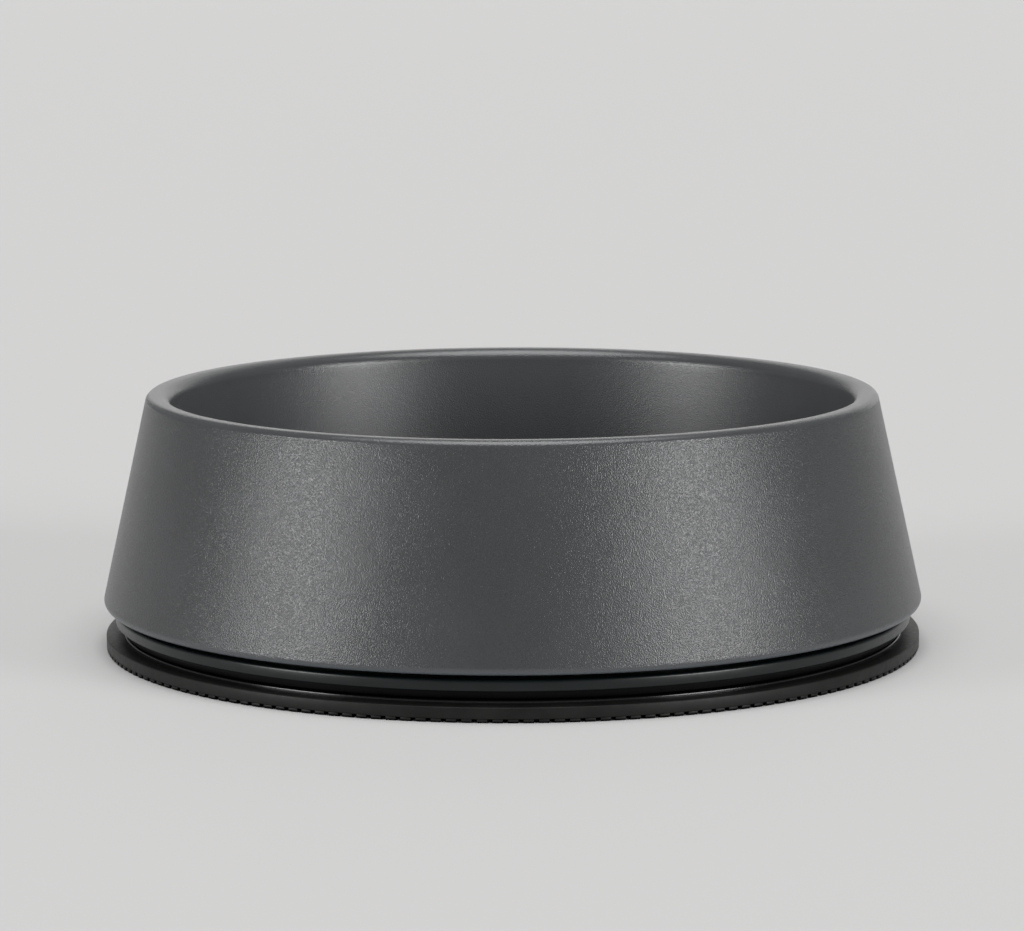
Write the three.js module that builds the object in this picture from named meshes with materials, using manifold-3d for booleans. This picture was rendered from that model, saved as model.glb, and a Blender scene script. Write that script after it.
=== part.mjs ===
// Pet bowl: a double-walled steel bowl with a powder coat, which lifts off its black non-slip base.
// Lengths are in millimetres. +Z is up, and the origin is on the floor at the centre of the base.
//
// The steel bowl is three pressed sheets welded together: the liner with the rim, the tapered outer shell,
// and the plate that closes the bottom and carries the foot. The base is a moulded carrier with a rubber
// ring pressed into its underside. Every section below is walked as radius and height, then revolved.

import * as THREE from "three";
import { mergeVertices } from "three/addons/utils/BufferGeometryUtils.js";
import Module from "manifold-3d";

// Outline of the bowl
const overallHeight = 62; // floor to the top of the rim
const widestRadius = 100; // the shell where it starts to turn under
const wallLean = 11.05; // how much narrower the shell's line is at the rim's height
const rimWidth = 5.65; // from the shell's line to the mouth, across the rim
const rimInnerRound = 1.9;
const rimOuterRound = 1.4;
const rimSkirt = 3.2; // how far the rim reaches down the outside, to its weld
const shellBottomRound = 1.5;

// Steel sheet
const linerThickness = 0.9;
const shellThickness = 0.9;
const plateThickness = 0.9;
const weldGap = 0.1; // welded edges stand this far apart

// Liner
const linerLean = 3.4; // how much narrower the liner is at its floor than at the mouth
const linerCornerRound = 18;
const floorAirGap = 5.6; // between the liner's floor and the plate's panel

// Bottom plate and its foot
const footInset = 14; // from the shell's widest place in to the foot's wall
const footRound = 1.6;
const footDepth = 5; // how far the foot reaches below the shell
const plateRimWidth = 2.4; // flat rim outside the foot, up to the shell's lip
const panelInset = 20; // from the foot's wall in to the raised panel
const panelSlopeWidth = 2.2;
const panelRise = 1;

// Clearances between the pieces
const seatGap = 0.3; // the bowl above its seat on the carrier
const footClearance = 0.3; // round the foot in the carrier's bore
const partingGap = 0.4; // the dark line between carrier and rubber
const tongueClearance = 0.3; // round the rubber tongue in its groove

// Carrier
const collarInset = 2.8; // from the shell's widest place in to the collar
const collarHeight = 2.5;
const collarRound = 0.5;
const tierInset = 1.9; // from the collar in to the second tier
const tierHeight = 2;
const tierRound = 0.25;
const seatWidth = 5.7; // the raised ring that the bowl rests on
const seatRise = 1.2;
const grooveInset = 2.6; // from the bore out to the groove for the rubber tongue
const grooveWidth = 2.6;
const grooveDepth = 1.5;

// Rubber ring
const gripInset = 0.5; // from the shell's widest place in to the rubber's side
const gripThickness = 2.7; // the flange, without its tread
const gripEdgeRound = 0.4;
const gripBoreInset = 0.7; // how much wider its bore is than the carrier's
const lipRise = 0.7;
const lipRound = 0.3;
const treadDepth = 0.9;
const ribCount = 180;
const ribWidth = 2.4;
const ribLength = 5.5;

// Fineness of the facets
const facetsAround = 56;
const edgeSteps = 2; // chords in a small rounding
const bendSteps = 3; // chords in a bend of the visible sheet
const linerCornerSteps = 6;
const unionOverlap = 0.3; // how far the tread's solid reaches into the ring

// Radii worked out from the widest one
const rimOuterRadius = widestRadius - wallLean;
const mouthRadius = rimOuterRadius - rimWidth;
const footRadius = widestRadius - footInset;
const shellLipRadius = footRadius + plateRimWidth + weldGap;
const collarRadius = widestRadius - collarInset;
const tierRadius = collarRadius - tierInset;
const boreRadius = footRadius + footClearance;
const seatRadius = boreRadius + seatWidth;
const grooveInnerRadius = boreRadius + grooveInset;
const grooveOuterRadius = grooveInnerRadius + grooveWidth;
const gripRadius = widestRadius - gripInset;
const gripBoreRadius = boreRadius + gripBoreInset;

// Heights stacked up from the floor
const gripTop = treadDepth + gripThickness;
const lipTop = gripTop + lipRise;
const carrierBottom = lipTop + partingGap;
const collarBottom = carrierBottom + tierHeight;
const collarTop = collarBottom + collarHeight;
const seatTop = collarTop + seatRise;
const shellBottom = seatTop + seatGap;
const footBottom = shellBottom - footDepth;
const plateFloorTop = footBottom + plateThickness;
const panelTop = plateFloorTop + panelRise;
const linerFloorTop = panelTop + floorAirGap + linerThickness;
const rimWeldHeight = overallHeight - rimSkirt;

// The shell's outer line: its radius at a height, straight from the widest place up to the rim.
function shellRadiusAt(height) {
  const widestHeight = shellBottom + shellBottomRound;
  return widestRadius - (wallLean * (height - widestHeight)) / (overallHeight - widestHeight);
}

// A corner of a section: radius, height, and the rounding there with its number of chords.
function corner(r, z, round = 0, steps = edgeSteps) {
  return { at: new THREE.Vector2(r, z), round, steps };
}

// Points of the arc that rounds one corner between its two neighbours.
function arcPoints(before, { at, round, steps }, after) {
  const toBefore = before.at.clone().sub(at);
  const toAfter = after.at.clone().sub(at);
  const opening = Math.acos(toBefore.dot(toAfter) / (toBefore.length() * toAfter.length()));
  const longestTangent = Math.min(toBefore.length(), toAfter.length());
  const tangent = Math.min(round / Math.tan(opening / 2), longestTangent);
  const radius = tangent * Math.tan(opening / 2);
  const start = at.clone().addScaledVector(toBefore.normalize(), tangent);
  const middle = toBefore.clone().add(toAfter.normalize()).normalize();
  const centre = at.clone().addScaledVector(middle, radius / Math.sin(opening / 2));
  const turn = (Math.PI - opening) * Math.sign(toAfter.cross(toBefore));
  return Array.from({ length: steps + 1 }, (_, step) =>
    start.clone().rotateAround(centre, (turn * step) / steps),
  );
}

// The points of an open run of corners, with each rounded corner turned into an arc.
function roundedRun(corners) {
  return corners.flatMap((here, index) => {
    const isEnd = index === 0 || index === corners.length - 1;
    return isEnd || here.round === 0 ? [here.at] : arcPoints(corners[index - 1], here, corners[index + 1]);
  });
}

// The section of a moulded ring: its corners, closed on themselves.
function ringSection(corners) {
  const last = corners[corners.length - 1];
  const run = roundedRun([last, ...corners, corners[0]]).slice(1, -1);
  return [...run, run[0]];
}

// The other face of a sheet: the same corners, moved to the right of the walk by the sheet's thickness.
function farFace(corners, thickness) {
  return corners.map(({ at, round, steps }, index) => {
    const before = corners[index - 1] ?? { at: at.clone().multiplyScalar(2).sub(corners[1].at) };
    const after = corners[index + 1] ?? { at: at.clone().multiplyScalar(2).sub(corners[index - 1].at) };
    const walkIn = at.clone().sub(before.at).normalize();
    const walkOut = after.at.clone().sub(at).normalize();
    const rightIn = new THREE.Vector2(walkIn.y, -walkIn.x);
    const rightOut = new THREE.Vector2(walkOut.y, -walkOut.x);
    const shift = thickness / (1 + rightIn.dot(rightOut));
    const moved = at.clone().addScaledVector(rightIn.add(rightOut), shift);
    const turnsLeft = walkIn.cross(walkOut) > 0;
    const farRound = turnsLeft ? round + thickness : Math.max(round - thickness, 0);
    return { at: moved, round: round === 0 ? 0 : farRound, steps };
  });
}

// The section of a pressed sheet, walked along one face with the metal on the right, then back on the other.
function sheetSection(corners, thickness) {
  const near = roundedRun(corners);
  const far = roundedRun(farFace(corners, thickness)).reverse();
  const startsOnAxis = near[0].x === 0;
  return startsOnAxis ? [...near, ...far] : [...near, ...far, near[0]];
}

// A section revolved round the axis. Sections are walked with the material on the right.
function revolve(section) {
  const geometry = new THREE.LatheGeometry([...section].reverse(), facetsAround);
  return geometry.rotateX(Math.PI / 2);
}

// Liner: floor, deep corner, nearly upright wall, and the rim that turns over to the outside.
function linerGeometry() {
  const rimWeldRadius = shellRadiusAt(rimWeldHeight);
  const corners = [
    corner(0, linerFloorTop),
    corner(mouthRadius - linerLean, linerFloorTop, linerCornerRound, linerCornerSteps),
    corner(mouthRadius, overallHeight, rimInnerRound, bendSteps),
    corner(rimOuterRadius, overallHeight, rimOuterRound, bendSteps),
    corner(rimWeldRadius, rimWeldHeight),
  ];
  return revolve(sheetSection(corners, linerThickness));
}

// Outer shell: the tapered wall below the rim, turned under at the bottom into a flat lip.
function shellGeometry() {
  const topHeight = rimWeldHeight - weldGap;
  // The wall's line meets the bottom's level outside the widest place, and the rounding takes that back.
  const bottomLineRadius = shellRadiusAt(shellBottom);
  const corners = [
    corner(shellRadiusAt(topHeight), topHeight),
    corner(bottomLineRadius, shellBottom, shellBottomRound, bendSteps),
    corner(shellLipRadius, shellBottom),
  ];
  return revolve(sheetSection(corners, shellThickness));
}

// Bottom plate: raised panel, foot that stands in the carrier, and the flat rim welded to the shell's lip.
function plateGeometry() {
  const footInnerRadius = footRadius - plateThickness;
  const panelRadius = footRadius - panelInset;
  const rimTop = shellBottom + plateThickness;
  const corners = [
    corner(0, panelTop),
    corner(panelRadius, panelTop),
    corner(panelRadius + panelSlopeWidth, plateFloorTop),
    corner(footInnerRadius, plateFloorTop, footRound),
    corner(footInnerRadius, rimTop, footRound),
    corner(footRadius + plateRimWidth, rimTop),
  ];
  return revolve(sheetSection(corners, plateThickness));
}

// Carrier: the collar and the narrower tier below it, the raised seat, and a groove for the rubber tongue.
function carrierGeometry() {
  const grooveTop = carrierBottom + grooveDepth;
  const corners = [
    corner(boreRadius, carrierBottom),
    corner(boreRadius, seatTop),
    corner(seatRadius, seatTop),
    corner(seatRadius, collarTop),
    corner(collarRadius, collarTop, collarRound),
    corner(collarRadius, collarBottom, tierRound),
    corner(tierRadius, collarBottom),
    corner(tierRadius, carrierBottom, tierRound),
    corner(grooveOuterRadius, carrierBottom),
    corner(grooveOuterRadius, grooveTop),
    corner(grooveInnerRadius, grooveTop),
    corner(grooveInnerRadius, carrierBottom),
  ];
  return revolve(ringSection(corners));
}

// Rubber ring above its tread: tongue, shiny lip, flat flange and upright side.
function gripBodyGeometry() {
  const tongueInnerRadius = grooveInnerRadius + tongueClearance;
  const tongueOuterRadius = grooveOuterRadius - tongueClearance;
  const tongueTop = carrierBottom + grooveDepth - tongueClearance;
  const corners = [
    corner(gripBoreRadius, treadDepth),
    corner(gripBoreRadius, lipTop),
    corner(tongueInnerRadius, lipTop),
    corner(tongueInnerRadius, tongueTop),
    corner(tongueOuterRadius, tongueTop),
    corner(tongueOuterRadius, lipTop),
    corner(tierRadius, lipTop, lipRound),
    corner(tierRadius, gripTop),
    corner(gripRadius, gripTop, gripEdgeRound),
    corner(gripRadius, treadDepth, gripEdgeRound),
  ];
  return revolve(ringSection(corners));
}

// One rib's outline, seen from below: out along one side, across its end and back.
function ribOutline(index) {
  const endRadius = gripRadius - gripEdgeRound;
  const rootRadius = endRadius - ribLength;
  const angle = (2 * Math.PI * index) / ribCount;
  const halfWidth = ribWidth / 2;
  const points = [
    new THREE.Vector2(rootRadius, -halfWidth),
    new THREE.Vector2(endRadius, -halfWidth),
    new THREE.Vector2(endRadius, halfWidth),
    new THREE.Vector2(rootRadius, halfWidth),
  ];
  return points.map((point) => point.rotateAround(new THREE.Vector2(), angle));
}

// Tread: a flat inner land with radial ribs standing out of it, all down to the floor.
function treadGeometry() {
  const ribs = Array.from({ length: ribCount }, (_, index) => ribOutline(index));
  const outline = new THREE.Shape(ribs.flat());
  const bore = Array.from({ length: facetsAround }, (_, index) => {
    const angle = (2 * Math.PI * index) / facetsAround;
    return new THREE.Vector2(gripBoreRadius, 0).rotateAround(new THREE.Vector2(), angle);
  });
  outline.holes.push(new THREE.Path(bore));
  const depth = treadDepth + unionOverlap;
  return new THREE.ExtrudeGeometry(outline, { depth, bevelEnabled: false });
}

// A closed geometry as a solid for joining.
function solidOf(wasm, geometry) {
  geometry.deleteAttribute("normal");
  geometry.deleteAttribute("uv");
  const merged = mergeVertices(geometry);
  const mesh = new wasm.Mesh({
    numProp: 3,
    vertProperties: merged.attributes.position.array,
    triVerts: new Uint32Array(merged.index.array),
  });
  return new wasm.Manifold(mesh);
}

// A solid back as a geometry, with a normal for each facet.
function geometryOf(solid) {
  const { vertProperties, triVerts } = solid.getMesh();
  const geometry = new THREE.BufferGeometry();
  geometry.setAttribute("position", new THREE.BufferAttribute(vertProperties, 3));
  geometry.setIndex(new THREE.BufferAttribute(triVerts, 1));
  geometry.computeVertexNormals();
  return geometry;
}

// Rubber ring: its body joined with the tread under it.
function gripGeometry(wasm) {
  const body = solidOf(wasm, gripBodyGeometry());
  const tread = solidOf(wasm, treadGeometry());
  return geometryOf(body.add(tread));
}

// Charcoal powder coat on steel.
function powderCoat() {
  return new THREE.MeshStandardMaterial({ color: 0x46484b, roughness: 0.5, metalness: 0 });
}

// Black moulded plastic of the carrier.
function carrierPlastic() {
  return new THREE.MeshStandardMaterial({ color: 0x1d1f20, roughness: 0.6, metalness: 0 });
}

// Black rubber of the grip ring.
function gripRubber() {
  return new THREE.MeshStandardMaterial({ color: 0x222324, roughness: 0.75, metalness: 0 });
}

// A named piece of the assembly.
function piece(name, geometry, material) {
  const mesh = new THREE.Mesh(geometry, material);
  mesh.name = name;
  return mesh;
}

const wasm = await Module();
wasm.setup();

const bowl = new THREE.Group();
bowl.add(piece("inner_bowl", linerGeometry(), powderCoat()));
bowl.add(piece("outer_shell", shellGeometry(), powderCoat()));
bowl.add(piece("base_plate", plateGeometry(), powderCoat()));

const base = new THREE.Group();
base.add(piece("base_carrier", carrierGeometry(), carrierPlastic()));
base.add(piece("grip_ring", gripGeometry(wasm), gripRubber()));

const petBowl = new THREE.Group();
petBowl.add(bowl, base);

export default petBowl;
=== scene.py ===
"""The look of a round, double-walled steel pet bowl with a powder coat, on its black non-slip base.

Lengths are in metres, in the part's own frame: +Z is up, and the origin is on the floor under the
bowl. Every piece is turned from a section of a few corners, as it is spun, drawn or moulded when it
is made.
"""

import math

import bmesh
import bpy
from mathutils import Matrix, Vector


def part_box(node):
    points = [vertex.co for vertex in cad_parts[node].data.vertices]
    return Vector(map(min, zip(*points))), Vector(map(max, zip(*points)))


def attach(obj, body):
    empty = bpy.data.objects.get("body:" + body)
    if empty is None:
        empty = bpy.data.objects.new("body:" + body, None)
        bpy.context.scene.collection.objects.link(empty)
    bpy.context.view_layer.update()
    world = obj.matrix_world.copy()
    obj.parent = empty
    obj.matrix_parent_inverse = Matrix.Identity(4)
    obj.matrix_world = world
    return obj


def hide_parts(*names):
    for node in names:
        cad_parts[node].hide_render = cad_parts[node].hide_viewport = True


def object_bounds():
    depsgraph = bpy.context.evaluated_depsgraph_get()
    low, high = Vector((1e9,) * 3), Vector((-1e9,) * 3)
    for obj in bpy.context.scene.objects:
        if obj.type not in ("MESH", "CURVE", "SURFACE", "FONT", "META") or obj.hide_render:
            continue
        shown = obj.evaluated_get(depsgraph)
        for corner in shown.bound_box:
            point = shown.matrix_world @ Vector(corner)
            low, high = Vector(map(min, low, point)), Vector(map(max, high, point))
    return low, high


MM = 0.001

# Sheet metal
WIDEST_RADIUS = 99.95 * MM
SHEET = 0.9 * MM
WELD_GAP = 0.1 * MM  # at the plate's rim; the one at the top of the wall is ground flush and coated
RIM_WIDTH = 5.65 * MM
RIM_INNER_ROUND = 3.1 * MM
RIM_OUTER_ROUND = 1.75 * MM
WALL_LEAN = 11.05 * MM  # how much narrower the outer wall is at the rim than at its widest place
LINER_LEAN = 3.4 * MM
LINER_CORNER_ROUND = 18 * MM
SHELL_BOTTOM_ROUND = 1.5 * MM
FOOT_INSET = 14 * MM  # from the wall's widest place in to the foot
FOOT_ROUND = 1.6 * MM
PLATE_RIM_WIDTH = 2.4 * MM
PANEL_INSET = 20 * MM
PANEL_SLOPE_WIDTH = 2.2 * MM
PANEL_RISE = 1 * MM
PANEL_ROUND = 1.5 * MM

# Moulded base
SEAT_WIDTH = 5.7 * MM
SEAT_RISE = 1 * MM
FOOT_CLEARANCE = 0.3 * MM
COLLAR_ROUND = 0.65 * MM
TIER_HEIGHT = 2 * MM
TIER_INSET = 1.9 * MM
TIER_ROUND = 0.25 * MM
GROOVE_INSET = 2.6 * MM
GROOVE_WIDTH = 2.6 * MM
GROOVE_DEPTH = 1.5 * MM
TONGUE_CLEARANCE = 0.3 * MM
PARTING_GAP = 0.4 * MM

# Rubber ring
GRIP_BORE_INSET = 0.7 * MM
GRIP_EDGE_ROUND = 0.25 * MM
TREAD_EDGE_ROUND = 0.2 * MM
LIP_RISE = 0.7 * MM
LIP_ROUND = 0.3 * MM
TREAD_DEPTH = 0.9 * MM
RIB_COUNT = 180
RIB_LENGTH = 5.5 * MM
RIB_STEP = 0.52 * MM  # the upper part of a rib's depth, where its end stands out
RIB_STAND = 0.18 * MM  # how far it stands out there, nearly flush with the ring's side
RIB_TUCK = 0.1 * MM  # how far the rib's end is pulled in at the floor
RIB_ROUND = 0.08 * MM
CELLS_PER_RIB = 3  # each pitch of the tread is two cells of rib and one of gap
GAP_CELL = 1

# Fineness of the turned pieces
TURN_STEPS = 288
ARC_STEPS = 5
SMALL_ARC_STEPS = 3
RIM_STEPS = 8
LINER_CORNER_STEPS = 24
RIB_ROUND_STEPS = 2
ARC_PROFILE = 0.5  # a bevel's profile that is part of a circle
SMOOTH_ANGLE = math.radians(32)
MERGE_DISTANCE = 0.002 * MM
TOUCH = 0.01 * MM  # points closer than this to a size are taken to be at it

# Where the values of a noise are taken to start and end
COLOUR_SPAN = (0.35, 0.65)
ROUGHNESS_SPAN = (0.3, 0.7)

# Powder coat
COAT_CLOUD_SIZE = 18 * MM
COAT_SATIN_SIZE = 0.4 * MM
COAT_SATIN_SPREAD = 0.75  # the lowest roughness, as a share of the highest
COAT_PEEL_SIZE = 1.5 * MM
COAT_PEEL_DEPTH = 0.015 * MM
COAT_GRAIN_SIZE = 0.25 * MM
COAT_IOR = 1.6
# Painted reflection: a lighter shade on the bend at the bottom of the wall, for the floor's light
# that it reflects
BEND_SHEEN_SHADE = (0.11, 0.125, 0.14)
BEND_SHEEN_HEIGHTS = (  # how far the painted sheen lightens the bend, by the height over the wall's lower edge
    (0, 0),
    (TOUCH, 1),
    (0.4 * MM, 0.8),
    (0.9 * MM, 0.35),
    (SHELL_BOTTOM_ROUND, 0.15),
    (SHELL_BOTTOM_ROUND + 0.4 * MM, 0),
)
RIM_POLISH_DEPTH = 4.5 * MM  # how far below the rim's top the polish starts
RIM_FULL_POLISH_DEPTH = 1.6 * MM
RIM_ROUGHNESS = 0.26

# Moulded plastic
PLASTIC_CLOUD_SIZE = 9 * MM
PLASTIC_SATIN_SIZE = 1.5 * MM
PLASTIC_ROUGHNESS = (0.28, 0.34)
PLASTIC_GRAIN_SIZE = 0.35 * MM
PLASTIC_GRAIN_DEPTH = 0.01 * MM

# Rubber
RUBBER_BLOOM_SIZE = 7 * MM
RUBBER_SATIN_SIZE = 1.2 * MM
RUBBER_SATIN_SPREAD = 0.8  # the lowest roughness, as a share of the highest
RUBBER_GRAIN_SIZE = 0.3 * MM
RUBBER_GRAIN_DEPTH = 0.012 * MM

# The photograph's camera, as fitted to the bowl's outlines
FRAME_WIDTH = 1024
FOCAL_PIXELS = 4131.5
SENSOR_WIDTH = 36  # in millimetres, as a camera's lens is too
CAMERA_PLACE = Vector((-0.08 * MM, -1000 * MM, 191.5 * MM))
CAMERA_PITCH = math.radians(8.43)
CAMERA_ROLL = math.radians(-0.18)

# The studio
PAPER_COLOUR = (0.523, 0.519, 0.517)
PAPER_ROUGHNESS = 0.8
BACKDROP_COLOUR = (0.8, 0.8, 0.79)
ROOM_BRIGHTNESS = 0.22
FLOOR_REACH = 20
BACKDROP_SIDES = (-6, 13)  # its left and right edges
BACKDROP_HEIGHT = 23


def corner(radius, height, rounding=0.0, steps=ARC_STEPS):
    """One corner of a section: its radius and height, and the rounding there."""
    return {"at": Vector((radius, 0, height)), "rounding": rounding, "steps": steps}


def fillet_offset(before, here, after):
    """How far from the corner its rounding starts, on both sides."""
    to_before = before["at"] - here["at"]
    to_after = after["at"] - here["at"]
    return here["rounding"] / math.tan(to_before.angle(to_after) / 2)


def section(corners, closed=False):
    """A wire through the corners, with the rounded ones bevelled into arcs."""
    bm = bmesh.new()
    verts = [bm.verts.new(here["at"]) for here in corners]
    for first, second in zip(verts, verts[1:]):
        bm.edges.new((first, second))
    if closed:
        bm.edges.new((verts[-1], verts[0]))
    for index, here in enumerate(corners):
        if here["rounding"] > 0:
            after = corners[(index + 1) % len(corners)]
            bmesh.ops.bevel(
                bm,
                geom=[verts[index]],
                offset=fillet_offset(corners[index - 1], here, after),
                offset_type="OFFSET",
                affect="VERTICES",
                segments=here["steps"],
                profile=ARC_PROFILE,
                material=-1,
            )
    return bm


def turn(bm, steps=TURN_STEPS):
    """Spins a section all the way round the bowl's axis."""
    bmesh.ops.spin(
        bm,
        geom=bm.verts[:] + bm.edges[:],
        cent=(0, 0, 0),
        axis=(0, 0, 1),
        dvec=(0, 0, 0),
        angle=math.tau,
        steps=steps,
        use_merge=True,
        use_duplicate=False,
    )
    bmesh.ops.remove_doubles(bm, verts=bm.verts[:], dist=MERGE_DISTANCE)
    bmesh.ops.recalc_face_normals(bm, faces=bm.faces[:])


def thicken(bm, seen_from):
    """Gives a turned sheet its thickness, on the side away from the point it is seen from."""
    nearest = min(bm.faces, key=lambda face: (face.calc_center_median() - seen_from).length)
    if nearest.normal.dot(seen_from - nearest.calc_center_median()) < 0:
        bmesh.ops.reverse_faces(bm, faces=bm.faces[:])
    bmesh.ops.solidify(bm, geom=bm.faces[:], thickness=SHEET)


def add_object(name, data):
    """A new object in the scene, at the origin."""
    added = bpy.data.objects.new(name, data)
    bpy.context.scene.collection.objects.link(added)
    return added


def add_mesh(bm, name, finishes):
    """A new object from a finished mesh and the finishes of its faces."""
    mesh = bpy.data.meshes.new(name)
    bm.to_mesh(mesh)
    bm.free()
    for finish in finishes:
        mesh.materials.append(finish.material)
    return add_object(name, mesh)


def make_piece(bm, node, body, finishes):
    """The finished piece, smooth except at its hard edges, in the place of its CAD node."""
    for face in bm.faces:
        face.smooth = True
    for edge in bm.edges:
        edge.smooth = edge.calc_face_angle(0) < SMOOTH_ANGLE
    piece = add_mesh(bm, node + "_turned", finishes)
    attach(piece, body)
    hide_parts(node)


class Finish:
    """A material, with short ways to add noise, ramps and bumps in Object coordinates."""

    def __init__(self, name):
        self.material = bpy.data.materials.new(name)
        self.material.use_nodes = True
        self.tree = self.material.node_tree
        self.shader = self.tree.nodes["Principled BSDF"]
        self.place = self.tree.nodes.new("ShaderNodeTexCoord").outputs["Object"]

    def link(self, output, node, name):
        """Feeds one node's output into another's input."""
        self.tree.links.new(output, node.inputs[name])

    def noise(self, size, detail=2):
        """Noise whose lumps are about size across."""
        node = self.tree.nodes.new("ShaderNodeTexNoise")
        node.inputs["Scale"].default_value = 1 / size
        node.inputs["Detail"].default_value = detail
        self.link(self.place, node, "Vector")
        return node.outputs["Fac"]

    def spread(self, factor, span, new_span):
        """The factor, stretched from one span of values to another."""
        node = self.tree.nodes.new("ShaderNodeMapRange")
        node.inputs["From Min"].default_value, node.inputs["From Max"].default_value = span
        node.inputs["To Min"].default_value, node.inputs["To Max"].default_value = new_span
        self.link(factor, node, "Value")
        return node.outputs["Result"]

    def ramp(self, factor, stops):
        """Shades that follow the factor, through pairs of its value and a shade."""
        node = self.tree.nodes.new("ShaderNodeValToRGB")
        elements = node.color_ramp.elements
        for _ in stops[2:]:
            elements.new(0.5)  # all places are set below
        for element, (place, shade) in zip(elements, stops):
            element.position = place
            element.color = (*shade, 1)
        self.link(factor, node, "Fac")
        return node.outputs["Color"]

    def by_height(self, places):
        """A factor that follows the height over the floor, through pairs of height and value."""
        position = self.tree.nodes.new("ShaderNodeSeparateXYZ")
        self.link(self.place, position, "Vector")
        lowest, highest = places[0][0], places[-1][0]
        along = self.spread(position.outputs["Z"], (lowest, highest), (0, 1))
        return self.ramp(
            along,
            [((height - lowest) / (highest - lowest), (value,) * 3) for height, value in places],
        )

    def colour(self, factor, low, high):
        """Base colour that runs from low to high with the factor."""
        shade = self.ramp(factor, list(zip(COLOUR_SPAN, (low, high))))
        self.link(shade, self.shader, "Base Color")

    def roughness(self, factor, low, high):
        """Roughness that runs from low to high with the factor."""
        self.link(self.spread(factor, ROUGHNESS_SPAN, (low, high)), self.shader, "Roughness")

    def lay_over(self, name, kind, factor, value):
        """Mixes a value over what feeds one of the shader's inputs, as far as the factor says."""
        under = self.shader.inputs[name].links[0].from_socket
        mix = self.tree.nodes.new("ShaderNodeMix")
        mix.data_type = kind
        mix.inputs["B"].default_value = value
        self.link(factor, mix, "Factor")
        self.link(under, mix, "A")
        self.link(mix.outputs["Result"], self.shader, name)

    def bump(self, height, depth, under=None):
        """Relief of the given depth. One bump can lie on another, which is then under it."""
        node = self.tree.nodes.new("ShaderNodeBump")
        node.inputs["Strength"].default_value = 1
        node.inputs["Distance"].default_value = depth
        self.link(height, node, "Height")
        if under is not None:
            self.link(under, node, "Normal")
        self.link(node.outputs["Normal"], self.shader, "Normal")
        return node.outputs["Normal"]


def powder_coat(name, low, high, roughest, grain):
    """Charcoal powder coat: satin, slightly cloudy, with a fine grain over a faint orange peel."""
    coat = Finish(name)
    coat.colour(coat.noise(COAT_CLOUD_SIZE, detail=3), low, high)
    coat.roughness(coat.noise(COAT_SATIN_SIZE), COAT_SATIN_SPREAD * roughest, roughest)
    peel = coat.bump(coat.noise(COAT_PEEL_SIZE, detail=1), COAT_PEEL_DEPTH)
    coat.bump(coat.noise(COAT_GRAIN_SIZE, detail=0), grain, under=peel)
    coat.shader.inputs["IOR"].default_value = COAT_IOR
    return coat


def paint_bend_sheen(coat):
    """Paints a lighter shade round the bend at the bottom of the wall: a painted reflection of the
    pale floor.
    """
    sheen_share = coat.by_height([(shell_bottom + rise, share) for rise, share in BEND_SHEEN_HEIGHTS])
    coat.lay_over("Base Color", "RGBA", sheen_share, (*BEND_SHEEN_SHADE, 1))


def polish_rim(coat):
    """Makes the coat glossier over the rim, where it flows out smoother."""
    polished = coat.by_height(
        [
            (bowl_top - RIM_POLISH_DEPTH, 0),
            (bowl_top - RIM_FULL_POLISH_DEPTH, 1),
            (bowl_top, 1),
        ]
    )
    coat.lay_over("Roughness", "FLOAT", polished, RIM_ROUGHNESS)


def moulded_plastic(name, low, high, gloss):
    """Black moulded plastic of the carrier, between two shades of black, with a fine grain."""
    plastic = Finish(name)
    plastic.colour(plastic.noise(PLASTIC_CLOUD_SIZE, detail=3), low, high)
    plastic.roughness(plastic.noise(PLASTIC_SATIN_SIZE), *PLASTIC_ROUGHNESS)
    plastic.bump(plastic.noise(PLASTIC_GRAIN_SIZE), PLASTIC_GRAIN_DEPTH)
    plastic.shader.inputs["Specular IOR Level"].default_value = gloss
    return plastic


def grip_rubber(name, low, high, roughest, gloss):
    """Black rubber of the foot ring with a fine bloom: matt, or smooth where it is polished."""
    rubber = Finish(name)
    rubber.colour(rubber.noise(RUBBER_BLOOM_SIZE, detail=4), low, high)
    rubber.roughness(rubber.noise(RUBBER_SATIN_SIZE), RUBBER_SATIN_SPREAD * roughest, roughest)
    rubber.bump(rubber.noise(RUBBER_GRAIN_SIZE, detail=3), RUBBER_GRAIN_DEPTH)
    rubber.shader.inputs["Specular IOR Level"].default_value = gloss
    return rubber


# What the pieces take from the frame
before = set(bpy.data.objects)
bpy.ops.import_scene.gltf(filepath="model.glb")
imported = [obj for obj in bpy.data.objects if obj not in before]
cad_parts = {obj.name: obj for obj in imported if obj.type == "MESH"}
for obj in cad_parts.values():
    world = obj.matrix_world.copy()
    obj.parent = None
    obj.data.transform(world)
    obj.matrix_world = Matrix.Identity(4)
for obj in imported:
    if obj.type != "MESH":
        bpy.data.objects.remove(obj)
cad_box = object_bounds()
bowl_top = cad_box[1].z
shell_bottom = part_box("outer_shell")[0].z
weld_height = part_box("outer_shell")[1].z + WELD_GAP
liner_floor_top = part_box("inner_bowl")[0].z + SHEET
foot_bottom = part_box("base_plate")[0].z
carrier_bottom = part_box("base_carrier")[0].z
seat_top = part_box("base_carrier")[1].z
collar_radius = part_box("base_carrier")[1].x
grip_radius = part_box("grip_ring")[1].x
tongue_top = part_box("grip_ring")[1].z

# What two pieces share
foot_radius = WIDEST_RADIUS - FOOT_INSET
bore_radius = foot_radius + FOOT_CLEARANCE
tier_radius = collar_radius - TIER_INSET
groove_inner_radius = bore_radius + GROOVE_INSET
groove_outer_radius = groove_inner_radius + GROOVE_WIDTH


def wall_radius(height):
    """Radius of the outer wall's straight line at a height."""
    widest_height = shell_bottom + SHELL_BOTTOM_ROUND
    return WIDEST_RADIUS - WALL_LEAN * (height - widest_height) / (bowl_top - widest_height)


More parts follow.
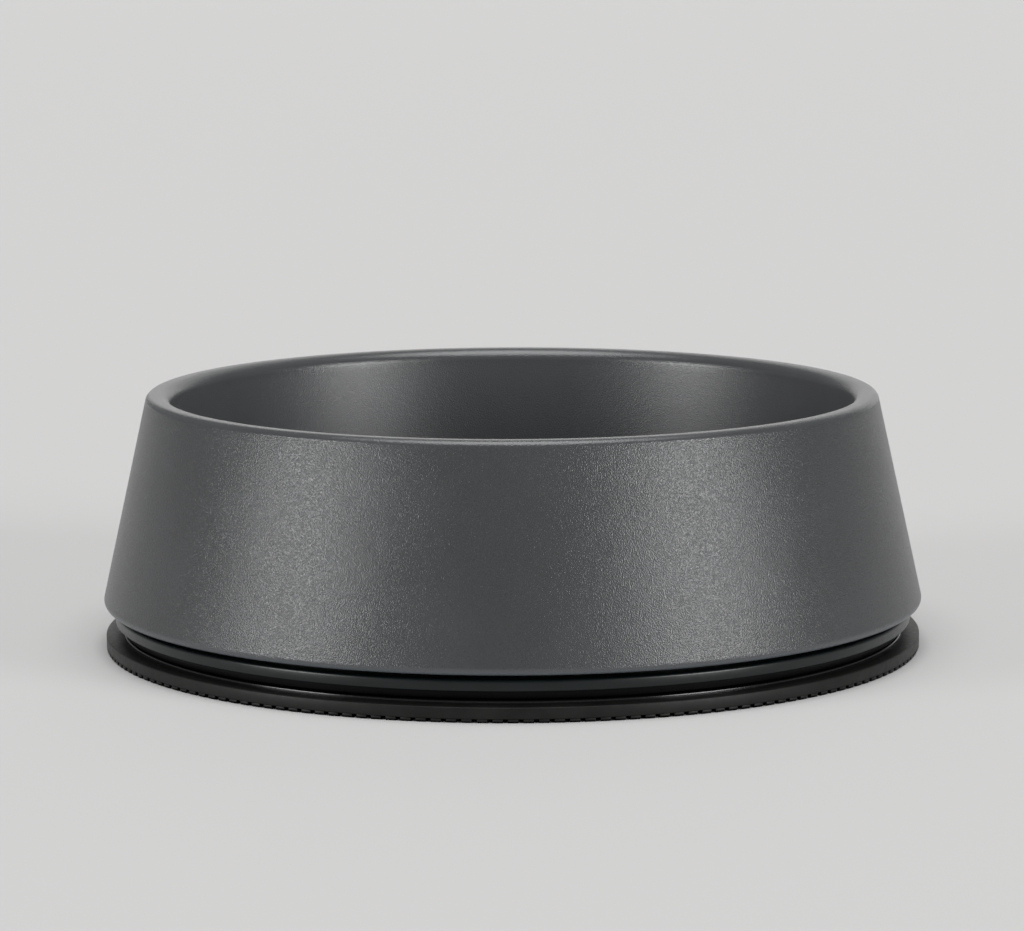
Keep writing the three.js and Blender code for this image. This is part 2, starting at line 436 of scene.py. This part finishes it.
def inner_bowl(smooth_coat, sandy_coat):
    """Liner: floor, deep rounded corner, wall, and the rim turned over to its weld."""
    rim_outer_radius = WIDEST_RADIUS - WALL_LEAN
    mouth_radius = rim_outer_radius - RIM_WIDTH
    bm = section(
        [
            corner(0, liner_floor_top),
            corner(
                mouth_radius - LINER_LEAN,
                liner_floor_top,
                LINER_CORNER_ROUND,
                LINER_CORNER_STEPS,
            ),
            corner(mouth_radius, bowl_top, RIM_INNER_ROUND, RIM_STEPS),
            corner(rim_outer_radius, bowl_top, RIM_OUTER_ROUND, RIM_STEPS),
            corner(wall_radius(weld_height), weld_height),
        ]
    )
    turn(bm)
    thicken(bm, seen_from=Vector((0, 0, 2 * bowl_top)))
    coats = [smooth_coat, sandy_coat]
    for face in bm.faces:
        centre = face.calc_center_median()
        if centre.z < bowl_top - RIM_OUTER_ROUND and centre.xy.length > rim_outer_radius:
            face.material_index = coats.index(sandy_coat)
    make_piece(bm, "inner_bowl", "bowl", coats)


def outer_shell(sandy_coat):
    """Tapered wall below the rim, turned under at the bottom into a flat lip."""
    bm = section(
        [
            corner(wall_radius(weld_height), weld_height),
            corner(wall_radius(shell_bottom), shell_bottom, SHELL_BOTTOM_ROUND, RIM_STEPS),
            corner(foot_radius + PLATE_RIM_WIDTH + WELD_GAP, shell_bottom),
        ]
    )
    turn(bm)
    thicken(bm, seen_from=Vector((2 * WIDEST_RADIUS, 0, bowl_top / 2)))
    make_piece(bm, "outer_shell", "bowl", [sandy_coat])


def base_plate(smooth_coat):
    """Pressed disc that closes the bottom: raised panel, foot, and the rim welded to the shell."""
    panel_radius = foot_radius - PANEL_INSET
    bm = section(
        [
            corner(0, foot_bottom + PANEL_RISE),
            corner(panel_radius, foot_bottom + PANEL_RISE, PANEL_ROUND),
            corner(panel_radius + PANEL_SLOPE_WIDTH, foot_bottom, PANEL_ROUND),
            corner(foot_radius, foot_bottom, FOOT_ROUND + SHEET),
            corner(foot_radius, shell_bottom, FOOT_ROUND - SHEET),
            corner(foot_radius + PLATE_RIM_WIDTH, shell_bottom),
        ]
    )
    turn(bm)
    thicken(bm, seen_from=Vector((0, 0, -bowl_top)))
    make_piece(bm, "base_plate", "bowl", [smooth_coat])


def base_carrier(collar_plastic, shaded_tier_plastic):
    """Collar, narrower tier below it, raised seat, and the groove for the rubber's tongue."""
    collar_bottom = carrier_bottom + TIER_HEIGHT
    collar_top = seat_top - SEAT_RISE
    seat_radius = bore_radius + SEAT_WIDTH
    groove_top = carrier_bottom + GROOVE_DEPTH
    bm = section(
        [
            corner(bore_radius, carrier_bottom, TIER_ROUND, SMALL_ARC_STEPS),
            corner(bore_radius, seat_top, TIER_ROUND, SMALL_ARC_STEPS),
            corner(seat_radius, seat_top, TIER_ROUND, SMALL_ARC_STEPS),
            corner(seat_radius, collar_top),
            corner(collar_radius, collar_top, COLLAR_ROUND),
            corner(collar_radius, collar_bottom, TIER_ROUND, SMALL_ARC_STEPS),
            corner(tier_radius, collar_bottom),
            corner(tier_radius, carrier_bottom, TIER_ROUND, SMALL_ARC_STEPS),
            corner(groove_outer_radius, carrier_bottom),
            corner(groove_outer_radius, groove_top),
            corner(groove_inner_radius, groove_top),
            corner(groove_inner_radius, carrier_bottom),
        ],
        closed=True,
    )
    turn(bm)
    # The tier's faces take a darker, less glossy copy of the collar's plastic: painted shade under
    # the collar's overhang.
    plastics = [collar_plastic, shaded_tier_plastic]
    for face in bm.faces:
        if face.calc_center_median().z < collar_bottom + TOUCH:
            face.material_index = plastics.index(shaded_tier_plastic)
    make_piece(bm, "base_carrier", "base", plastics)


def cell_of(face):
    """Which cell of a rib's pitch a face lies in, counted round the ring."""
    centre = face.calc_center_median()
    turned = math.atan2(centre.y, centre.x) % math.tau
    return int(turned / math.tau * RIB_COUNT * CELLS_PER_RIB) % CELLS_PER_RIB


def is_at_radius(face, radius):
    """Whether all of a face's points are at a radius."""
    return all(abs(vert.co.xy.length - radius) < TOUCH for vert in face.verts)


def is_at_height(face, height):
    """Whether all of a face's points are at a height."""
    return all(abs(vert.co.z - height) < TOUCH for vert in face.verts)


def draw_down(bm, faces, depth):
    """Extrudes faces straight down, and gives the points and faces at their new height."""
    drawn = bmesh.ops.extrude_face_region(bm, geom=faces)["geom"]
    lowered = [item for item in drawn if isinstance(item, bmesh.types.BMVert)]
    bmesh.ops.translate(bm, verts=lowered, vec=(0, 0, -depth))
    return lowered, [item for item in drawn if isinstance(item, bmesh.types.BMFace)]


def cut_tread(bm, root_radius, end_radius):
    """Draws the ribs down to the floor from the recess round the tread, and shapes their ends.

    The ribs and the land inside them are one, so the walls where they meet are deleted.
    """
    ribs = [face for face in bm.faces if cell_of(face) != GAP_CELL]
    roofs = [face for face in ribs if is_at_height(face, TREAD_DEPTH)]
    walls = [face for face in ribs if is_at_radius(face, root_radius)]
    stepped, roofs = draw_down(bm, roofs, RIB_STEP)
    at_floor, _ = draw_down(bm, roofs, TREAD_DEPTH - RIB_STEP)
    walls += [
        face
        for vert in stepped + at_floor
        for face in vert.link_faces
        if is_at_radius(face, root_radius)
    ]
    bmesh.ops.delete(bm, geom=list(dict.fromkeys(walls)), context="FACES")
    shape_rib_ends(bm, at_floor, end_radius)
    round_rib_ends(bm, end_radius + RIB_STAND)


def shape_rib_ends(bm, at_floor, end_radius):
    """Pulls the ribs' ends in at the floor, and makes the upper part of each stand out."""
    ends = [face for face in bm.faces if is_at_radius(face, end_radius)]
    upper_ends = [face for face in ends if face.calc_center_median().z > TREAD_DEPTH - RIB_STEP]
    for vert in at_floor:
        if abs(vert.co.xy.length - end_radius) < TOUCH:
            vert.co.xy *= (end_radius - RIB_TUCK) / end_radius
    pulled = bmesh.ops.extrude_face_region(bm, geom=upper_ends)["geom"]
    for item in pulled:
        if isinstance(item, bmesh.types.BMVert):
            item.co.xy *= (end_radius + RIB_STAND) / end_radius
    bmesh.ops.remove_doubles(bm, verts=bm.verts[:], dist=MERGE_DISTANCE)


def round_rib_ends(bm, stand_radius):
    """Rounds the sharp edges of the parts that stand out."""
    edges = []
    for edge in bm.edges:
        standing = all(vert.co.xy.length > stand_radius - TOUCH for vert in edge.verts)
        low = all(vert.co.z < TREAD_DEPTH + TOUCH for vert in edge.verts)
        if standing and low and edge.calc_face_angle(0) > SMOOTH_ANGLE:
            edges.append(edge)
    bmesh.ops.bevel(
        bm,
        geom=edges,
        offset=RIB_ROUND,
        offset_type="OFFSET",
        affect="EDGES",
        segments=RIB_ROUND_STEPS,
        profile=ARC_PROFILE,
        material=-1,
    )


def grip_ring(matt_rubber, lip_rubber, shaded_tread_rubber):
    """Rubber foot: tongue, lip, flat flange and upright side, on a land with ribs round it."""
    lip_top = carrier_bottom - PARTING_GAP
    grip_top = lip_top - LIP_RISE
    tongue_inner_radius = groove_inner_radius + TONGUE_CLEARANCE
    tongue_outer_radius = groove_outer_radius - TONGUE_CLEARANCE
    grip_bore_radius = bore_radius + GRIP_BORE_INSET
    rib_end_radius = grip_radius - TREAD_EDGE_ROUND
    rib_root_radius = rib_end_radius - RIB_LENGTH
    bm = section(
        [
            corner(grip_bore_radius, 0, LIP_ROUND, SMALL_ARC_STEPS),
            corner(grip_bore_radius, lip_top, LIP_ROUND, SMALL_ARC_STEPS),
            corner(tongue_inner_radius, lip_top),
            corner(tongue_inner_radius, tongue_top, LIP_ROUND, SMALL_ARC_STEPS),
            corner(tongue_outer_radius, tongue_top, LIP_ROUND, SMALL_ARC_STEPS),
            corner(tongue_outer_radius, lip_top),
            corner(tier_radius, lip_top, LIP_ROUND, SMALL_ARC_STEPS),
            corner(tier_radius, grip_top),
            corner(grip_radius, grip_top, GRIP_EDGE_ROUND, SMALL_ARC_STEPS),
            corner(grip_radius, TREAD_DEPTH, TREAD_EDGE_ROUND, SMALL_ARC_STEPS),
            corner(rib_root_radius, TREAD_DEPTH),
            corner(rib_root_radius, 0),
        ],
        closed=True,
    )
    turn(bm, RIB_COUNT * CELLS_PER_RIB)
    cut_tread(bm, rib_root_radius, rib_end_radius)
    rubbers = [matt_rubber, lip_rubber, shaded_tread_rubber]
    for face in bm.faces:
        centre = face.calc_center_median()
        if centre.z > grip_top + TOUCH:
            face.material_index = rubbers.index(lip_rubber)
        # The tread's faces under the ring take a darker, duller rubber: painted shade for the
        # contact shadow there.
        elif centre.z < TREAD_DEPTH + TOUCH and centre.xy.length < rib_end_radius:
            face.material_index = rubbers.index(shaded_tread_rubber)
    make_piece(bm, "grip_ring", "base", rubbers)


def paper(name, colour):
    """Matt paper of one plain colour."""
    sheet = Finish(name)
    sheet.shader.inputs["Base Color"].default_value = (*colour, 1)
    sheet.shader.inputs["Roughness"].default_value = PAPER_ROUGHNESS
    sheet.shader.inputs["Specular IOR Level"].default_value = 0
    return sheet


def paper_sheet(name, finish, sides, start, end):
    """A flat sheet of pale paper across the view, from one depth and height to another."""
    bm = bmesh.new()
    near = [bm.verts.new((side, *start)) for side in sides]
    edge = bm.edges.new(near)
    across = bmesh.ops.extrude_edge_only(bm, edges=[edge])["geom"]
    moved = [item for item in across if isinstance(item, bmesh.types.BMVert)]
    bmesh.ops.translate(bm, verts=moved, vec=(0, end[0] - start[0], end[1] - start[1]))
    sheet = add_mesh(bm, name, [finish])


def stage():
    """Wide pale floor, and at its far edge a whiter backdrop, which shows in the rim's gloss."""
    front = (-FLOOR_REACH, 0)
    back = (FLOOR_REACH, 0)
    top = (FLOOR_REACH, BACKDROP_HEIGHT)
    floor_sides = (-FLOOR_REACH, FLOOR_REACH)
    paper_sheet("floor", paper("pale_paper", PAPER_COLOUR), floor_sides, front, back)
    paper_sheet("backdrop", paper("white_paper", BACKDROP_COLOUR), BACKDROP_SIDES, back, top)


def round_softbox(name, azimuth, elevation, spread, brightness):
    """Round light, far away, spread degrees across. Azimuth goes right from the camera's side.

    A sun's energy is the light on a surface that faces it, so a wider one of the same brightness
    gets more.
    """
    lamp = bpy.data.lights.new(name, "SUN")
    lamp.angle = math.radians(spread)
    lamp.energy = brightness * math.pi * math.sin(lamp.angle / 2) ** 2
    turned = math.radians(azimuth)
    raised = math.radians(elevation)
    towards = Vector(
        (
            math.sin(turned) * math.cos(raised),
            -math.cos(turned) * math.cos(raised),
            math.sin(raised),
        )
    )
    light = add_object(name, lamp)
    light.location = towards
    light.rotation_euler = (-towards).to_track_quat("-Z", "Y").to_euler()


def studio():
    """Dim room, a softbox on each side that draws a bright band down the wall, and one overhead."""
    world = bpy.data.worlds.new("studio_room")
    bpy.context.scene.world = world
    world.use_nodes = True
    room = world.node_tree.nodes["Background"]
    room.inputs["Color"].default_value = (1, 1, 1, 1)
    room.inputs["Strength"].default_value = ROOM_BRIGHTNESS
    round_softbox("left_softbox", azimuth=-64, elevation=10, spread=25, brightness=10.1)
    round_softbox("right_softbox", azimuth=55.5, elevation=12, spread=25, brightness=11.1)
    round_softbox("top_softbox", azimuth=0, elevation=81, spread=52, brightness=4.2)


def photograph():
    """The camera, at the photograph's place and angle."""
    camera = bpy.data.cameras.new("camera")
    camera.sensor_width = SENSOR_WIDTH
    camera.lens = SENSOR_WIDTH * FOCAL_PIXELS / FRAME_WIDTH
    level = Matrix.Rotation(math.pi / 2 - CAMERA_PITCH, 4, "X")
    roll = Matrix.Rotation(CAMERA_ROLL, 4, "Z")
    placed = add_object("camera", camera)
    placed.matrix_world = Matrix.Translation(CAMERA_PLACE) @ level @ roll
    bpy.context.scene.camera = placed
    bpy.context.scene.view_settings.view_transform = "Standard"


smooth = powder_coat(
    "smooth_powder_coat",
    low=(0.043, 0.045, 0.047),
    high=(0.048, 0.050, 0.053),
    roughest=0.44,
    grain=0.045 * MM,
)
polish_rim(smooth)
sandy = powder_coat(
    "sandy_powder_coat",
    low=(0.034, 0.036, 0.0375),
    high=(0.039, 0.0415, 0.0435),
    roughest=0.35,
    grain=0.082 * MM,
)
# painted reflection of the floor on the bottom bend
paint_bend_sheen(sandy)
collar = moulded_plastic(
    "black_collar_plastic",
    low=(0.001, 0.003, 0.0035),
    high=(0.002, 0.005, 0.0055),
    gloss=0.4,
)
# Painted shade: the collar's plastic made darker and less glossy for the tier in the collar's
# shadow
tier = moulded_plastic(
    "black_tier_plastic_painted_shade",
    low=(0.001, 0.001, 0.001),
    high=(0.002, 0.002, 0.002),
    gloss=0.09,
)
matt = grip_rubber(
    "black_matt_rubber",
    low=(0.0055, 0.0057, 0.0052),
    high=(0.0095, 0.0097, 0.009),
    roughest=0.5,
    gloss=0.23,
)
lip = grip_rubber(
    "black_polished_rubber",
    low=(0.003, 0.003, 0.003),
    high=(0.005, 0.005, 0.005),
    roughest=0.16,
    gloss=0.45,
)
# Painted shade: the rubber made darker and duller for the tread under the ring, in its contact
# shadow
tread = grip_rubber(
    "black_tread_rubber_painted_shade",
    low=(0.0015, 0.0015, 0.0015),
    high=(0.003, 0.003, 0.003),
    roughest=0.7,
    gloss=0.08,
)

inner_bowl(smooth, sandy)
outer_shell(sandy)
base_plate(smooth)
base_carrier(collar, tier)
grip_ring(matt, lip, tread)
stage()
studio()
photograph()
